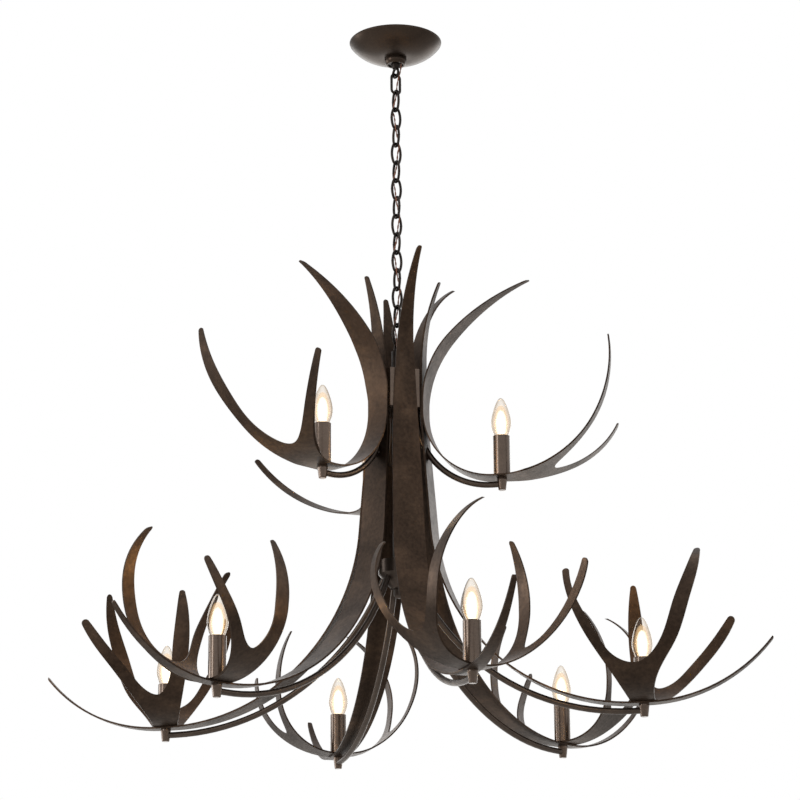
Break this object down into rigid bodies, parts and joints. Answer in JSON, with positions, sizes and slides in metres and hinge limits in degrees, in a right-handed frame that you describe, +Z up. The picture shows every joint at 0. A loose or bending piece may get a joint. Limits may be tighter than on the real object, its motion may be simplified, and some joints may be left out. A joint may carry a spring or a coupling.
{
  "type": "tiered chandelier",
  "caption": "Two-tier antler-style chandelier in dark bronze, hung on a chain: bent strip arms and forked plates carry candle lamps with flame bulbs.",
  "frame": {"origin": "on the fixture's vertical axis, in the ceiling plane at the centre of the strap's two slots", "axes": "+Z up into the ceiling, +X along the strap and along one lower arm"},
  "size_m": [1.22, 1.0576, 1.2067],
  "materials": {
    "sheet_bronze": "mottled dark oil-rubbed bronze, satin",
    "tube_bronze": "even dark bronze, satin",
    "canopy_bronze": "even dark bronze, satin",
    "chain_bronze": "dark bronze, satin",
    "plated_steel": "zinc-plated steel",
    "cord_jacket": "copper-brown cord jacket",
    "socket_shell": "black socket shell",
    "bulb_glass": "clear lamp glass, lit"
  },
  "bodies": {
    "ceiling_end": {"mounting_strap": "plated_steel", "ground_screw": "plated_steel", "strap_nipple": "plated_steel", "nipple_nut": "plated_steel", "canopy_loop": "chain_bronze"},
    "canopy": {"canopy": "canopy_bronze"},
    "collar": {"collar_nut": "canopy_bronze"},
    "link_01": {"chain_link_01": "chain_bronze", "supply_cord": "cord_jacket"},
    "link_02": {"chain_link_02": "chain_bronze"},
    "link_03": {"chain_link_03": "chain_bronze"},
    "link_04": {"chain_link_04": "chain_bronze"},
    "link_05": {"chain_link_05": "chain_bronze"},
    "link_06": {"chain_link_06": "chain_bronze"},
    "link_07": {"chain_link_07": "chain_bronze"},
    "link_08": {"chain_link_08": "chain_bronze"},
    "link_09": {"chain_link_09": "chain_bronze"},
    "link_10": {"chain_link_10": "chain_bronze"},
    "link_11": {"chain_link_11": "chain_bronze"},
    "link_12": {"chain_link_12": "chain_bronze"},
    "link_13": {"chain_link_13": "chain_bronze"},
    "link_14": {"chain_link_14": "chain_bronze"},
    "link_15": {"chain_link_15": "chain_bronze"},
    "fixture": {"antler_plate_1": "sheet_bronze", "antler_plate_2": "sheet_bronze", "antler_plate_3": "sheet_bronze", "antler_plate_4": "sheet_bronze", "antler_plate_5": "sheet_bronze", "antler_plate_6": "sheet_bronze", "arm_cups": "tube_bronze", "arm_strip_1": "sheet_bronze", "arm_strip_2": "sheet_bronze", "arm_strip_3": "sheet_bronze", "arm_strip_4": "sheet_bronze", "arm_strip_5": "sheet_bronze", "arm_strip_6": "sheet_bronze", "body_loop": "chain_bronze", "bottom_nut": "tube_bronze", "candle_covers": "tube_bronze", "centre_tube": "tube_bronze", "lamp_nipples": "plated_steel", "lamp_nuts": "plated_steel", "lamp_sockets": "socket_shell", "lower_arm_tubes": "tube_bronze", "lower_hub": "tube_bronze", "upper_arm_tubes": "tube_bronze", "upper_hub": "tube_bronze", "upper_strip_1": "sheet_bronze", "upper_strip_2": "sheet_bronze", "upper_strip_3": "sheet_bronze"},
    "bulb_1": {"bulb_1": "bulb_glass"},
    "bulb_2": {"bulb_2": "bulb_glass"},
    "bulb_3": {"bulb_3": "bulb_glass"},
    "bulb_4": {"bulb_4": "bulb_glass"},
    "bulb_5": {"bulb_5": "bulb_glass"},
    "bulb_6": {"bulb_6": "bulb_glass"},
    "bulb_7": {"bulb_7": "bulb_glass"},
    "bulb_8": {"bulb_8": "bulb_glass"},
    "bulb_9": {"bulb_9": "bulb_glass"}
  },
  "joints": [
    {"name": "canopy_drop", "type": "slide", "parent": "ceiling_end", "child": "canopy", "axis": [0, 0, -1], "range_m": [0, 0.018]},
    {"name": "collar_turn", "type": "hinge", "parent": "canopy", "child": "collar", "pos_m": [0, 0, -0.031], "axis": [0, 0, 1], "continuous": true},
    {"name": "link_01_swing", "type": "hinge", "parent": "ceiling_end", "child": "link_01", "pos_m": [0, 0, -0.065], "axis": [0.7314, -0.682, 0], "range_deg": [-6, 6], "deforming": ["supply_cord"]},
    {"name": "link_02_swing", "type": "hinge", "parent": "link_01", "child": "link_02", "pos_m": [0, 0, -0.0952], "axis": [0.682, 0.7314, 0], "range_deg": [-6, 6]},
    {"name": "link_03_swing", "type": "hinge", "parent": "link_02", "child": "link_03", "pos_m": [0, 0, -0.1279], "axis": [0.7314, -0.682, 0], "range_deg": [-6, 6]},
    {"name": "link_04_swing", "type": "hinge", "parent": "link_03", "child": "link_04", "pos_m": [0, 0, -0.1606], "axis": [0.682, 0.7314, 0], "range_deg": [-6, 6]},
    {"name": "link_05_swing", "type": "hinge", "parent": "link_04", "child": "link_05", "pos_m": [0, 0, -0.1933], "axis": [0.7314, -0.682, 0], "range_deg": [-6, 6]},
    {"name": "link_06_swing", "type": "hinge", "parent": "link_05", "child": "link_06", "pos_m": [0, 0, -0.226], "axis": [0.682, 0.7314, 0], "range_deg": [-6, 6]},
    {"name": "link_07_swing", "type": "hinge", "parent": "link_06", "child": "link_07", "pos_m": [0, 0, -0.2587], "axis": [0.7314, -0.682, 0], "range_deg": [-6, 6]},
    {"name": "link_08_swing", "type": "hinge", "parent": "link_07", "child": "link_08", "pos_m": [0, 0, -0.2914], "axis": [0.682, 0.7314, 0], "range_deg": [-6, 6]},
    {"name": "link_09_swing", "type": "hinge", "parent": "link_08", "child": "link_09", "pos_m": [0, 0, -0.3241], "axis": [0.7314, -0.682, 0], "range_deg": [-6, 6]},
    {"name": "link_10_swing", "type": "hinge", "parent": "link_09", "child": "link_10", "pos_m": [0, 0, -0.3568], "axis": [0.682, 0.7314, 0], "range_deg": [-6, 6]},
    {"name": "link_11_swing", "type": "hinge", "parent": "link_10", "child": "link_11", "pos_m": [0, 0, -0.3895], "axis": [0.7314, -0.682, 0], "range_deg": [-6, 6]},
    {"name": "link_12_swing", "type": "hinge", "parent": "link_11", "child": "link_12", "pos_m": [0, 0, -0.4222], "axis": [0.682, 0.7314, 0], "range_deg": [-6, 6]},
    {"name": "link_13_swing", "type": "hinge", "parent": "link_12", "child": "link_13", "pos_m": [0, 0, -0.4549], "axis": [0.7314, -0.682, 0], "range_deg": [-6, 6]},
    {"name": "link_14_swing", "type": "hinge", "parent": "link_13", "child": "link_14", "pos_m": [0, 0, -0.4876], "axis": [0.682, 0.7314, 0], "range_deg": [-6, 6]},
    {"name": "link_15_swing", "type": "hinge", "parent": "link_14", "child": "link_15", "pos_m": [0, 0, -0.5203], "axis": [0.7314, -0.682, 0], "range_deg": [-6, 6]},
    {"name": "fixture_swing", "type": "hinge", "parent": "link_15", "child": "fixture", "pos_m": [0, 0, -0.553], "axis": [0.682, 0.7314, 0], "range_deg": [-6, 6]},
    {"name": "bulb_1_unscrew", "type": "hinge", "parent": "fixture", "child": "bulb_1", "pos_m": [0.4, 0, -1.1247], "axis": [0, 0, 1], "range_deg": [0, 1080]},
    {"name": "bulb_2_unscrew", "type": "hinge", "parent": "fixture", "child": "bulb_2", "pos_m": [0.2, 0.34641, -1.1247], "axis": [0, 0, 1], "range_deg": [0, 1080]},
    {"name": "bulb_3_unscrew", "type": "hinge", "parent": "fixture", "child": "bulb_3", "pos_m": [-0.2, 0.34641, -1.1247], "axis": [0, 0, 1], "range_deg": [0, 1080]},
    {"name": "bulb_4_unscrew", "type": "hinge", "parent": "fixture", "child": "bulb_4", "pos_m": [-0.4, 0, -1.1247], "axis": [0, 0, 1], "range_deg": [0, 1080]},
    {"name": "bulb_5_unscrew", "type": "hinge", "parent": "fixture", "child": "bulb_5", "pos_m": [-0.2, -0.34641, -1.1247], "axis": [0, 0, 1], "range_deg": [0, 1080]},
    {"name": "bulb_6_unscrew", "type": "hinge", "parent": "fixture", "child": "bulb_6", "pos_m": [0.2, -0.34641, -1.1247], "axis": [0, 0, 1], "range_deg": [0, 1080]},
    {"name": "bulb_7_unscrew", "type": "hinge", "parent": "fixture", "child": "bulb_7", "pos_m": [0.176, 0, -0.7367], "axis": [0, 0, 1], "range_deg": [0, 1080]},
    {"name": "bulb_8_unscrew", "type": "hinge", "parent": "fixture", "child": "bulb_8", "pos_m": [-0.088, 0.15242, -0.7367], "axis": [0, 0, 1], "range_deg": [0, 1080]},
    {"name": "bulb_9_unscrew", "type": "hinge", "parent": "fixture", "child": "bulb_9", "pos_m": [-0.088, -0.15242, -0.7367], "axis": [0, 0, 1], "range_deg": [0, 1080]}
  ]
}
